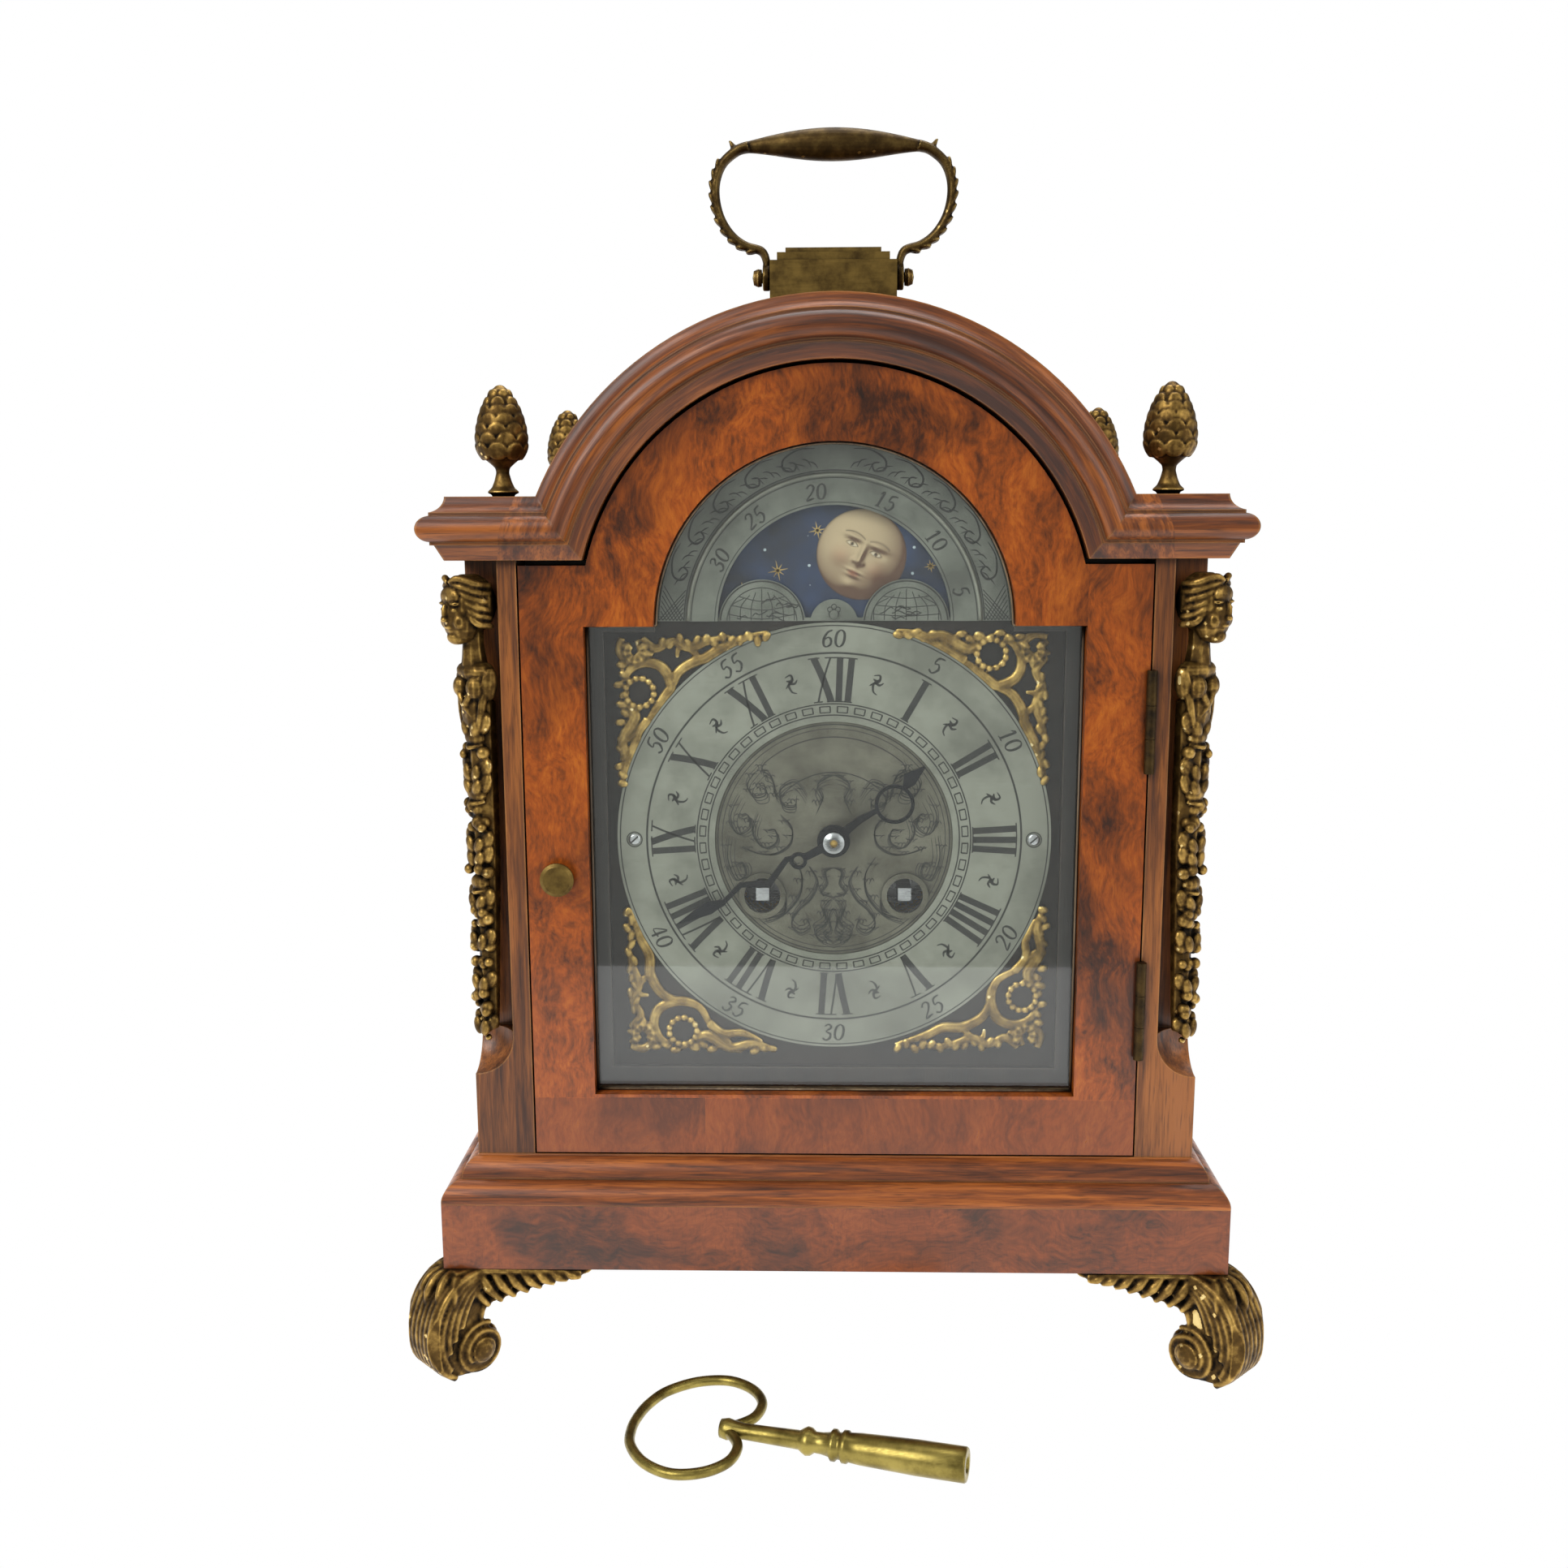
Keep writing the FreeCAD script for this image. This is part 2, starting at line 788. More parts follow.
def make_roof():
    """Barrel roof board that stands on the two side decks."""
    outer = arch_outer_radius
    inner = outer - D.roof_board
    rise = cornice_top_z - D.arch_centre_z
    outer_foot = root(outer * outer - rise * rise)
    inner_foot = root(inner * inner - rise * rise)
    top = cornice_top_z
    centre = (0.0, D.arch_centre_z)
    length = back_y - cornice_back_y
    outline = [
        (outer_foot, top, (outer, centre)),
        (-outer_foot, top),
        (-inner_foot, top, (inner, centre, CLOCKWISE)),
        (inner_foot, top),
    ]
    layered("roof_arch", "XZ", [(back_y, length, [outline], [])])


def make_back_board():
    """Board that closes the roof at the back, over the rear door."""
    inner = arch_outer_radius - D.roof_board
    half = D.deck_inner_half
    knee = D.arch_centre_z + root(inner * inner - half * half)
    outline = [
        (-half, D.case_top_z),
        (half, D.case_top_z),
        (half, knee, (inner, (0.0, D.arch_centre_z))),
        (-half, knee),
    ]
    layered("back_board", "XZ", [(back_y, D.rear_door_thick, [outline], [])])


def build_case():
    make_plinth()
    make_base_moulding()
    make_bottom_board()
    make_post("left", "front_post_left")
    make_post("right", "front_post_right")
    make_side("left", "side_frame_left")
    make_side("right", "side_frame_right")
    make_side_glasses()
    front_shape = make_front_cornice()
    make_side_cornice(-1, "side_cornice_left", front_shape)
    make_side_cornice(1, "side_cornice_right", front_shape)
    make_roof()
    make_back_board()


# Front door

def hinge_leaf_shape(x, low):
    deep = float(D.hinge_leaf_deep)
    y = float(front_y)
    leaf = float(D.hinge_leaf)
    return Part.makeBox(leaf, deep, float(D.hinge_length), Vector(x, y, low))


def hinge_web(x, low, length):
    """The short web that ties a leaf to its knuckle."""
    leaf = float(D.hinge_leaf)
    y = float(hinge_axis_y)
    return Part.makeBox(leaf, float(front_y) - y, length, Vector(x, y, low))


def make_front_hinges():
    """Two butt hinges: the post's leaves hold the end knuckles and the pin."""
    axis = Vector(float(hinge_axis_x), float(hinge_axis_y), 0)
    up = Vector(0, 0, 1)
    radius = float(D.knuckle_radius)
    pin = float(D.hinge_pin_radius)
    clear = float(D.running_clearance)
    length = float(D.hinge_length)
    third = length / 3
    gap = 0.15
    post = []
    door = []
    for low in (float(D.hinge_low_z), float(D.hinge_high_z)):
        parts = [hinge_leaf_shape(float(post_inner_x), low)]
        for foot in (low, low + 2 * third):
            parts.append(Part.makeCylinder(radius, third, axis + up * foot))
            parts.append(hinge_web(float(post_inner_x), foot, third))
        parts.append(Part.makeCylinder(pin, length, axis + up * low))
        post.append(union(parts))
        door_x = float(door_half_width - D.hinge_leaf)
        middle = low + third + gap
        short = third - 2 * gap
        knuckle = Part.makeCylinder(radius, short, axis + up * middle)
        leaf = union([hinge_leaf_shape(door_x, low), knuckle, hinge_web(door_x, middle, short)])
        door.append(leaf.cut(Part.makeCylinder(pin + clear, length, axis + up * low)))
    keep(feature("hinges_post_shape", Part.makeCompound(post)), "front_hinges_post")
    keep(feature("hinges_door_shape", Part.makeCompound(door)), "front_hinges_door")


def make_door():
    """Veneered door: a sight layer at the front and a wider rebate behind it for the pane."""
    outer = break_arch(door_half_width, door_foot_z, door_top_z, door_arch_radius)
    sight = break_arch(opening_half_width, opening_foot_z, D.arch_centre_z,
                       D.opening_arch_radius)
    wide = rebate_outline(D.glass_rebate)
    layers = [
        (glass_front_y, D.sight_depth, [outer, sight], []),
        (door_back_y, D.door_thick - D.sight_depth, [outer, wide], []),
    ]
    door = layered("door_frame_wood", "XZ", layers)
    SUBPARTS.remove(door)
    tools = [leaf_block("door_leaf%d" % i, "door", low)
             for i, low in enumerate((D.hinge_low_z, D.hinge_high_z))]
    tools.append(rod("knob_shank_hole", 1.5 + D.running_clearance, 8.0,
                     -knob_x, front_y, D.knob_z, "y"))
    keep(cut("door_frame_cut", door, tools), "door_frame")
    clear = 0.1
    pane = rebate_outline(D.glass_rebate - clear)
    layered("door_glass", "XZ", [(glass_back_y, D.glass_thick, [pane], [])])
    inner = rebate_outline(0.4)
    layered("door_bead", "XZ", [(glass_back_y + D.bead_thick, D.bead_thick, [pane, inner], [])])


def rebate_outline(more):
    return break_arch(opening_half_width + more, opening_foot_z - more,
                      D.arch_centre_z + more, D.opening_arch_radius + more)


def make_knob(label, x, y, z, outwards):
    """Plain brass disc knob on a shank."""
    radius = float(D.knob_radius)
    reach = float(D.knob_reach)
    profile = [(0, -7.5), (1.5, -7.5), (1.5, 0), (3.0, 0), (2.2, reach * 0.55),
               (radius, reach * 0.62), (radius, reach * 0.85), (radius - 1.0, reach), (0, reach)]
    shape = turned(profile, Vector(float(x), float(y), float(z)), Vector(0, outwards, 0))
    keep(feature(label + "_shape", shape), label)


def build_front_door():
    make_door()
    make_front_hinges()
    make_knob("door_knob", -knob_x, front_y, D.knob_z, -1)


# Rear door

def build_rear_door():
    thick = D.rear_door_thick
    low = door_foot_z
    high = rear_door_top_z
    outer = rectangle(-D.case_half_width, D.case_half_width, low, high)
    sight = rectangle(-rear_opening_half, rear_opening_half,
                      rear_opening_foot_z, rear_opening_top_z)
    more = D.glass_rebate
    wide = rectangle(-rear_opening_half - more, rear_opening_half + more,
                     rear_opening_foot_z - more, rear_opening_top_z + more)
    inner = 4.2
    layers = [
        (back_y, thick - inner, [outer, sight], []),
        (back_y - thick + inner, inner, [outer, wide], []),
    ]
    door = layered("rear_door_wood", "XZ", layers)
    SUBPARTS.remove(door)
    hole = D.rear_pin_radius
    pin_x = D.case_half_width - D.rear_pin_in
    half = D.rear_pin_length / 2
    tools = []
    for i, z in enumerate((low, high - half)):
        tools.append(rod("rear_pin_hole%d" % i, hole, half, pin_x, back_y - 6.0, z))
    tools.append(rod("rear_knob_hole", 1.5 + D.running_clearance, 8.0,
                     -D.case_half_width + 11.0, back_y - 8.0, D.knob_z, "y"))
    keep(cut("rear_door_cut", door, tools), "rear_door_frame")
    clear = 0.1
    pane = rectangle(-rear_opening_half - more + clear, rear_opening_half + more - clear,
                     rear_opening_foot_z - more + clear, rear_opening_top_z + more - clear)
    layered("rear_door_glass", "XZ",
            [(back_y - thick + inner, D.glass_thick, [pane], [])])
    pins = []
    x, y = rear_pin_place()
    for foot in (float(low) - rear_pin_reach(), float(high - half)):
        length = float(half) + rear_pin_reach()
        pins.append(Part.makeCylinder(float(D.rear_pin_radius), length, Vector(x, y, foot)))
    keep(feature("rear_pin_shapes", Part.makeCompound(pins)), "rear_door_pins")
    make_knob("rear_door_knob", -D.case_half_width + 11.0, back_y, D.knob_z, 1)


# Dial

def make_mask():
    wide_half = D.mask_half_width + D.dial_rebate
    outer = break_arch(post_inner_x - 0.3, D.case_foot_z, D.case_top_z - 0.4,
                       D.arch_inner_radius - 0.6)
    sight = break_arch(D.mask_half_width, D.mask_foot_z, D.mask_shoulder_z, D.mask_arch_radius)
    wide = break_arch(wide_half, D.mask_foot_z - D.dial_rebate, D.mask_shoulder_z + D.dial_rebate,
                      D.mask_arch_radius + D.dial_rebate)
    deep = D.mask_thick - D.dial_rebate_deep
    layered("dial_mask", "XZ", [
        (dial_front_y, D.dial_rebate_deep, [outer, sight], []),
        (mask_back_y, deep, [outer, wide], []),
    ])


def make_dial_plate():
    """Brass plate with the moon window, the winding holes and four feet to the movement."""
    clear = 0.1
    more = D.dial_rebate - clear
    outer = break_arch(D.mask_half_width + more, D.mask_foot_z - more, D.mask_shoulder_z + more,
                       D.mask_arch_radius + more)
    window = [
        (D.moon_window_radius + 1.0, D.arch_centre_z + 1.0,
         (root((D.moon_window_radius + 1.0) * (D.moon_window_radius + 1.0) + 1.0),
          (0.0, D.arch_centre_z))),
        (-D.moon_window_radius - 1.0, D.arch_centre_z + 1.0),
    ]
    holes = [(0.0, D.dial_centre_z, D.dial_centre_hole)]
    for sign in (-1, 1):
        holes.append((sign * D.winding_x, winding_z, D.winding_hole_radius))
    plate = layered("dial_plate_sheet", "XZ",
                    [(dial_back_y, D.dial_plate_thick, [outer, window], holes)])
    SUBPARTS.remove(plate)
    feet = [plate]
    inset = 5.0
    for i, (sx, z) in enumerate([(-1, D.plate_low_z + inset), (1, D.plate_low_z + inset),
                                 (-1, D.plate_high_z - inset), (1, D.plate_high_z - inset)]):
        x = sx * (D.plate_half_width - inset)
        feet.append(rod("dial_foot%d" % i, D.pillar_radius, D.front_plate_y - dial_back_y,
                        x, dial_back_y, z, "y"))
    keep(fused("dial_plate_fused", feet), "dial_plate")


def make_arch_plate():
    """Silvered arch: border, raised lunar rim, two hemispheres and the pivot of the moon disc."""
    y = float(dial_front_y)
    z = float(D.arch_centre_z)
    low = z + 0.6
    thick = 0.8
    rim = float(D.lunar_rim_radius)
    window = float(D.moon_window_radius)
    sheet_shape = y_rod(D.arch_plate_radius, y - thick, y, 0, z)
    sheet_shape = sheet_shape.fuse(y_rod(rim, y - thick - float(D.lunar_rim_thick), y, 0, z))
    sheet_shape = sheet_shape.cut(y_rod(window, y - 5, y + 1, 0, z))
    humps = [y_rod(D.small_hump_radius, y - thick, y, 0, z)]
    for sign in (-1, 1):
        humps.append(y_rod(D.hump_radius, y - thick, y, sign * float(D.hump_x), z))
    strip = Part.makeBox(2 * window + 4, thick, 1.2, Vector(-window - 2, y - thick, low - 0.2))
    whole = sheet_shape.multiFuse(humps + [strip])
    below = half_space(Vector(0, 0, low), Vector(0, 0, -1))
    whole = whole.cut(below).removeSplitter()
    stud_z = z + 2.6
    stud_end = float(dial_back_y) + 0.2 + float(D.moon_disc_thick) + 0.3
    stud = y_rod(1.2, y - thick - 0.8, stud_end, 0, stud_z)
    cap = y_rod(2.4, stud_end, stud_end + 0.8, 0, stud_z)
    whole = whole.fuse(stud).fuse(cap).removeSplitter()
    keep(feature("arch_plate_shape", whole), "arch_plate")


def make_moon_disc():
    """Painted disc with two moons, which turns on the arch plate's pivot behind the window."""
    y = float(dial_back_y) + 0.2
    z = float(D.arch_centre_z) + 2.6
    thick = float(D.moon_disc_thick)
    disc = y_rod(D.moon_disc_radius, y, y + thick, 0, z)
    disc = disc.cut(y_rod(1.2 + float(D.running_clearance), y - 1, y + thick + 1, 0, z))
    keep(feature("moon_disc_shape", disc), "moon_disc")


def make_rings():
    keep_ring = [(0.0, D.dial_centre_z, D.chapter_radius),
                 (0.0, D.dial_centre_z, D.chapter_inner_radius)]
    layered("chapter_ring", "XZ", [(dial_front_y, D.chapter_thick, [], keep_ring)])
    disc = [(0.0, D.dial_centre_z, D.chapter_inner_radius - 0.1),
            (0.0, D.dial_centre_z, D.dial_centre_hole)]
    for sign in (-1, 1):
        disc.append((sign * D.winding_x, winding_z, D.winding_hole_radius))
    sheet_body = layered("dial_centre_sheet", "XZ", [(dial_front_y, D.centre_thick, [], disc)])
    SUBPARTS.remove(sheet_body)
    pieces = [sheet_body]
    front = dial_front_y - D.centre_thick
    for i, sign in enumerate((-1, 1)):
        collar = rod("collet%d" % i, D.winding_hole_radius + D.collet_width, 0.8,
                     sign * D.winding_x, front - 0.8, winding_z, "y")
        hole = rod("collet_hole%d" % i, D.winding_hole_radius, 3.0,
                   sign * D.winding_x, front - 1.5, winding_z, "y")
        pieces.append(cut("collet_ring%d" % i, collar, [hole]))
    keep(fused("dial_centre_fused", pieces), "dial_centre")


def make_spandrels():
    """Four pierced scroll castings in the corners of the square."""
    y = float(dial_front_y)
    rise = 1.9
    corner_x = float(D.mask_half_width) - 3.4
    high_z = float(D.mask_shoulder_z) - 1.6
    low_z = float(D.mask_foot_z) + 4.2
    outer_leg = [(3, 6), (10, 2.6), (18, 4.4), (26, 2.0), (34, 3.4), (43, 1.2)]
    outer_widths = [3.4, 3.8, 3.0, 3.4, 2.6, 1.0]
    inner_leg = [(6, 12), (11, 14.5), (16, 11), (20, 7.5), (26, 7.2), (31, 4.6)]
    inner_widths = [2.6, 3.0, 2.8, 2.4, 2.4, 1.2]
    bridge = [(4, 4), (16, 16)]
    bridge_widths = [3.0, 1.6]
    castings = []
    for sx, sz, z in ((-1, -1, high_z), (1, -1, high_z), (-1, 1, low_z), (1, 1, low_z)):
        shapes = []
        for leg, widths, swap in ((outer_leg, outer_widths, False), (outer_leg, outer_widths, True),
                                  (inner_leg, inner_widths, False), (inner_leg, inner_widths, True),
                                  (bridge, bridge_widths, False)):
            route = []
            for a, b in leg:
                u, v = (b, a) if swap else (a, b)
                route.append((sx * (corner_x - u), z + sz * v))
            strip = prism(ribbon(route, widths), Vector(0, rise, 0))
            strip.translate(Vector(0, y - rise, 0))
            shapes.append(strip)
        shapes.append(y_rod(4.2, y - rise, y, sx * (corner_x - 6.5), z + sz * 6.5))
        shapes.append(y_rod(2.0, y - rise - 0.8, y, sx * (corner_x - 14), z + sz * 14))
        room = y_rod(D.chapter_radius + 0.2, y - 4, y + 1, 0, D.dial_centre_z)
        castings.append(union(shapes).cut(room))
    keep(feature("spandrel_castings", Part.makeCompound(castings)), "spandrels")


def ribbon(points, widths):
    """Outline of a strip along points with a width at each."""
    left = []
    right = []
    count = len(points)
    for i, (x, z) in enumerate(points):
        ax, az = points[max(i - 1, 0)]
        bx, bz = points[min(i + 1, count - 1)]
        run = Vector(bx - ax, 0, bz - az).normalize()
        side = Vector(run.z, 0, -run.x) * (widths[i] / 2)
        here = Vector(x, 0, z)
        right.append(here + side)
        left.append(here - side)
    return right + left[::-1]


def make_hand(label, y, turn, bore, spine, loops):
    """Pierced serpentine hand, cut from sheet and turned to its hour."""
    thick = float(D.hand_thick)
    blade = prism(ribbon(*spine), Vector(0, thick, 0))
    shapes = [blade, y_rod(bore + 2.4, 0, thick, 0, 0)]
    for x, z, radius in loops:
        shapes.append(y_rod(radius, 0, thick, x, z))
    hand = shapes[0].multiFuse(shapes[1:])
    for x, z, radius in loops:
        hand = hand.cut(y_rod(radius - 1.1, -1, thick + 1, x, z))
    hand = hand.cut(y_rod(bore, -1, thick + 1, 0, 0)).removeSplitter()
    hand.rotate(Vector(0, 0, 0), Vector(0, 1, 0), float(turn))
    hand.translate(Vector(0, float(y), float(D.dial_centre_z)))
    keep(feature(label + "_shape", hand), label)


hour_hand_y = chapter_front_y - 2.4
minute_hand_y = hour_hand_y - 1.9
pipe_radius = 2.6


def make_hands():
    unit = float(D.minute_hand_length) / 53.4
    spine = [(0, 2), (0, 9), (2.0, 15), (-1.9, 23), (1.6, 31), (-0.6, 38), (0, 43), (0, 53.4)]
    widths = [2.6, 2.2, 1.7, 2.2, 1.6, 1.5, 4.2, 0.4]
    spine = [(x * unit, z * unit) for x, z in spine]
    make_hand("minute_hand", minute_hand_y, D.minute_hand_turn,
              float(D.arbor_radius), (spine, widths), [(0, 12 * unit, 2.6)])
    unit = float(D.hour_hand_length) / 35.6
    spine = [(0, 2), (0, 10), (1.0, 15.2), (1.4, 21), (1.0, 26.8), (0, 29.5), (0, 35.6)]
    widths = [2.8, 2.2, 1.5, 1.5, 1.5, 4.6, 0.4]
    spine = [(x * unit, z * unit) for x, z in spine]
    make_hand("hour_hand", hour_hand_y, D.hour_hand_turn,
              pipe_radius, (spine, widths), [(3.0 * unit, 21.3 * unit, 6.0)])
    front = float(minute_hand_y)
    bore = float(D.arbor_radius)
    nut = turned([(bore, 0), (3.2, 0), (3.2, 1.2), (1.8, 1.9), (bore, 1.9)],
                 Vector(0, front, float(D.dial_centre_z)), Vector(0, -1, 0))
    keep(feature("hand_nut_shape", nut), "hand_nut")


def build_dial():
    make_mask()
    make_dial_plate()
    make_arch_plate()
    make_moon_disc()
    make_rings()
    make_spandrels()
    make_hands()


# Movement

TEETH = {
    "great": 60,
    "second": 50,
    "second_pinion": 10,
    "centre": 66,
    "centre_pinion": 10,
    "third": 60,
    "third_pinion": 6,
    "escape": 48,
    "escape_pinion": 6,
    "cannon": 10,
    "minute": 30,
    "minute_pinion": 8,
    "hour": 32,
}


def gear(teeth, module, phase, thick, bore=0.0):
    """Spur wheel with tapered teeth, centred on the Y axis, its front face at y = 0."""
    pitch = 2 * math.pi / teeth
    tip = module * teeth / 2 + module * 0.85
    foot = module * teeth / 2 - module * 1.15
    points = []
    for i in range(teeth):
        middle = phase + i * pitch
        for share, radius in ((-0.27, foot), (-0.07, tip), (0.07, tip), (0.27, foot)):
            angle = middle + share * pitch
            points.append(Vector(radius * math.cos(angle), 0, radius * math.sin(angle)))
    shape = prism(points, Vector(0, thick, 0))
    if bore:
        shape = shape.cut(y_rod(bore, -1, thick + 1, 0, 0))
    return shape


def meshed(place_a, teeth_a, phase_a, place_b, teeth_b):
    """The phase that puts wheel b in mesh with wheel a."""
    line = math.atan2(place_b[1] - place_a[1], place_b[0] - place_a[0])
    share = (line - phase_a) / (2 * math.pi / teeth_a)
    return line + math.pi + (share + 0.5) * 2 * math.pi / teeth_b


def crossing(place_a, reach_a, place_b, reach_b, side):
    """The place at given distances from two others, on the stated side of their line."""
    dx = place_b[0] - place_a[0]
    dz = place_b[1] - place_a[1]
    gap = math.hypot(dx, dz)
    along = (reach_a ** 2 - reach_b ** 2 + gap ** 2) / (2 * gap)
    off = side * math.sqrt(reach_a ** 2 - along ** 2)
    return (place_a[0] + (dx * along - dz * off) / gap,
            place_a[1] + (dz * along + dx * off) / gap)


def half_sum(module, first, second):
    return float(module) * (TEETH[first] + TEETH[second]) / 2


# The arbors' places in X and Z, each worked out from the wheels that mesh there
centre_at = (0.0, float(D.dial_centre_z))
going_at = (-float(D.winding_x), float(winding_z))
strike_at = (float(D.winding_x), float(winding_z))
second_at = crossing(going_at, half_sum(D.train_module, "great", "second_pinion"),
                     centre_at, half_sum(D.second_module, "second", "centre_pinion"), 1)
third_reach = half_sum(D.centre_module, "centre", "third_pinion")
third_at = (centre_at[0] + third_reach * math.cos(math.radians(60)),
            centre_at[1] + third_reach * math.sin(math.radians(60)))
escape_reach = half_sum(D.third_module, "third", "escape_pinion")
escape_at = (0.0, third_at[1] + math.sqrt(escape_reach ** 2 - third_at[0] ** 2))
pallet_at = (0.0, escape_at[1] + float(D.escape_radius) + 5.0)
strike_reach = half_sum(D.train_module, "great", "second_pinion")
strike_wheel_at = (strike_at[0] + strike_reach * math.cos(math.radians(66)),
                   strike_at[1] + strike_reach * math.sin(math.radians(66)))
minute_wheel_at = (0.0, centre_at[1] - half_sum(D.motion_module, "cannon", "minute"))
hammer_at = (float(D.plate_half_width) - 17.0, float(D.plate_high_z) - 19.0)

# Layers in Y, from the rear plate forwards
great_y = float(rear_plate_y) - 6.0
second_y = float(rear_plate_y) - 3.0
centre_y = float(front_plate_back_y) + 1.2
third_y = float(rear_plate_y) - 18.0
escape_y = float(rear_plate_y) - 12.0
cannon_y = float(D.front_plate_y) - 6.0
hour_y = cannon_y - 3.0


def lifted(shape, y, at):
    shape.translate(Vector(at[0], y, at[1]))
    return shape


def arbor(at, end_y=None):
    """A plain arbor between the plates with a pivot at each end."""
    clear = 0.15
    front = float(front_plate_back_y) + clear
    back = float(rear_plate_y) - clear
    if end_y is None:
        end_y = rear_plate_back_y
    return [
        y_rod(D.fine_arbor_radius, front, back, *at),
        y_rod(D.pivot_radius, D.front_plate_y, end_y, *at),
    ]


def make_plates():
    """Two brass plates; the rear one carries the pillars, the bell's post and the cock."""
    holes = []
    clear = float(D.running_clearance)
    thin = float(D.pivot_radius) + clear
    for at in (second_at, third_at, escape_at, strike_wheel_at):
        holes.append((at[0], at[1], thin))
    for at in (going_at, strike_at):
        holes.append((at[0], at[1], float(D.barrel_arbor_radius) + clear))
    holes.append((pallet_at[0], pallet_at[1], thin))
    centre = (centre_at[0], centre_at[1], float(D.arbor_radius) + clear)
    hammer = (hammer_at[0], hammer_at[1], thin)
    outline = rectangle(-D.plate_half_width, D.plate_half_width, D.plate_low_z, D.plate_high_z)
    layered("front_plate_sheet", "XZ",
            [(front_plate_back_y, D.plate_thick, [outline], holes + [centre, hammer])])
    front = SUBPARTS.pop()
    stud = rod("minute_stud", 1.0, D.front_plate_y - (hour_y - 1.0), minute_wheel_at[0],
               hour_y - 1.0, minute_wheel_at[1], "y")
    keep(fused("front_plate_fused", [front, stud]), "front_plate")
    layered("rear_plate_sheet", "XZ",
            [(rear_plate_back_y, D.plate_thick, [outline], holes + [centre, hammer])])
    rear = SUBPARTS.pop()
    pieces = [rear]
    inset = 5.0
    for i, (sx, z) in enumerate([(-1, D.plate_low_z + inset), (1, D.plate_low_z + inset),
                                 (-1, D.plate_high_z - inset), (1, D.plate_high_z - inset)]):
        pieces.append(rod("pillar%d" % i, D.pillar_radius, D.plate_space,
                          sx * (D.plate_half_width - inset), front_plate_back_y, z, "y"))
    middle_y = rear_plate_y - 19.0
    bracket = block("bell_bracket", -4.0, 4.0, middle_y - 3.0, rear_plate_back_y,
                    D.plate_high_z, D.plate_high_z + 2.5)
    shoulder = D.bell_rim_z + D.bell_height - D.bell_wall - D.plate_high_z
    post = rod("bell_post", 2.6, shoulder, 0.0, middle_y, D.plate_high_z, "z")
    thread = rod("bell_thread", D.bell_thread_radius, shoulder + 4.0,
                 0.0, middle_y, D.plate_high_z, "z")
    keep(fused("rear_plate_fused", pieces + [bracket, post, thread]), "rear_plate")


def make_bell():
    """Bell on its post, held by a nut, mouth down over the movement."""
    radius = float(D.bell_radius)
    height = float(D.bell_height)
    wall = float(D.bell_wall)
    outer = [(0, height), (3.4, height), (radius * 0.55, height * 0.92), (radius * 0.84, height * 0.62),
             (radius * 0.93, height * 0.25), (radius, 0)]
    inner = [(radius - wall, 0), (radius * 0.93 - wall, height * 0.25),
             (radius * 0.84 - wall, height * 0.62 - wall * 0.5),
             (radius * 0.55, height * 0.92 - wall), (3.4, height - wall), (0, height - wall)]
    at = Vector(0, float(rear_plate_y) - 19.0, float(D.bell_rim_z))
    bell = turned(outer + inner, at, Vector(0, 0, 1))
    nut = Part.makeCylinder(2.8, 3.0, at + Vector(0, 0, height))
    bore = Part.makeCylinder(float(D.bell_thread_radius), height * 2, at)
    keep(feature("bell_shape", Part.makeCompound([bell.cut(bore), nut.cut(bore)])), "bell")


def make_hammer():
    """Hammer on its arbor, with its head beside the bell's rim."""
    x, z = hammer_at
    y = float(rear_plate_y) - 19.0
    reach = float(D.bell_radius) + float(D.hammer_gap)
    head_z = float(D.bell_rim_z) + 3.0
    stem = prism(ribbon([(x, z), (x - 1.0, z + 10), (reach + 4.0, head_z)], [3.0, 2.4, 2.0]),
                 Vector(0, 1.6, 0))
    stem.translate(Vector(0, y - 0.8, 0))
    head = Part.makeCylinder(3.0, 7.0, Vector(reach, y, head_z), Vector(1, 0, 0))
    pieces = [stem, head] + arbor(hammer_at)
    keep(feature("hammer_shape", union(pieces)), "hammer")


def make_barrel(label, at, phase):
    """Spring barrel: drum and great wheel that turn on the winding arbor."""
    bore = float(D.barrel_arbor_radius) + float(D.running_clearance)
    length = float(D.barrel_length)
    drum = y_rod(D.barrel_radius, great_y - length, great_y + 0.2, *at)
    hollow = y_rod(float(D.barrel_radius) - 1.4, great_y - length + 1.4, great_y - 1.2, *at)
    wheel = lifted(gear(TEETH["great"], float(D.train_module), phase, 2.2), great_y, at)
    shape = union([drum, wheel]).cut(hollow)
    shape = shape.cut(y_rod(bore, great_y - length - 1, great_y + 5, *at))
    keep(feature(label + "_shape", shape), label)


def make_winding_arbor(label, at):
    """Barrel arbor with its hook, ratchet wheel and winding square."""
    square = float(D.winding_square)
    square_y = float(dial_front_y) + 0.6
    ratchet_y = float(D.front_plate_y) - 2.4
    shaft = y_rod(D.barrel_arbor_radius, ratchet_y - 1.0, rear_plate_back_y, *at)
    end = Part.makeBox(square, ratchet_y - square_y, square,
                       Vector(at[0] - square / 2, square_y, at[1] - square / 2))
    teeth = 24
    points = []
    for i in range(teeth):
        for share, radius in ((0.0, 6.4), (0.85, 7.6)):
            angle = 2 * math.pi * (i + share) / teeth
            points.append(Vector(radius * math.cos(angle), 0, radius * math.sin(angle)))
    ratchet = lifted(prism(points, Vector(0, 1.6, 0)), ratchet_y, at)
    hook = Part.makeBox(2.0, 6.0, 2.0,
                        Vector(at[0] - 1.0, great_y - float(D.barrel_length) / 2, at[1] + 2.0))
    keep(feature(label + "_shape", union([shaft, end, ratchet, hook])), label)


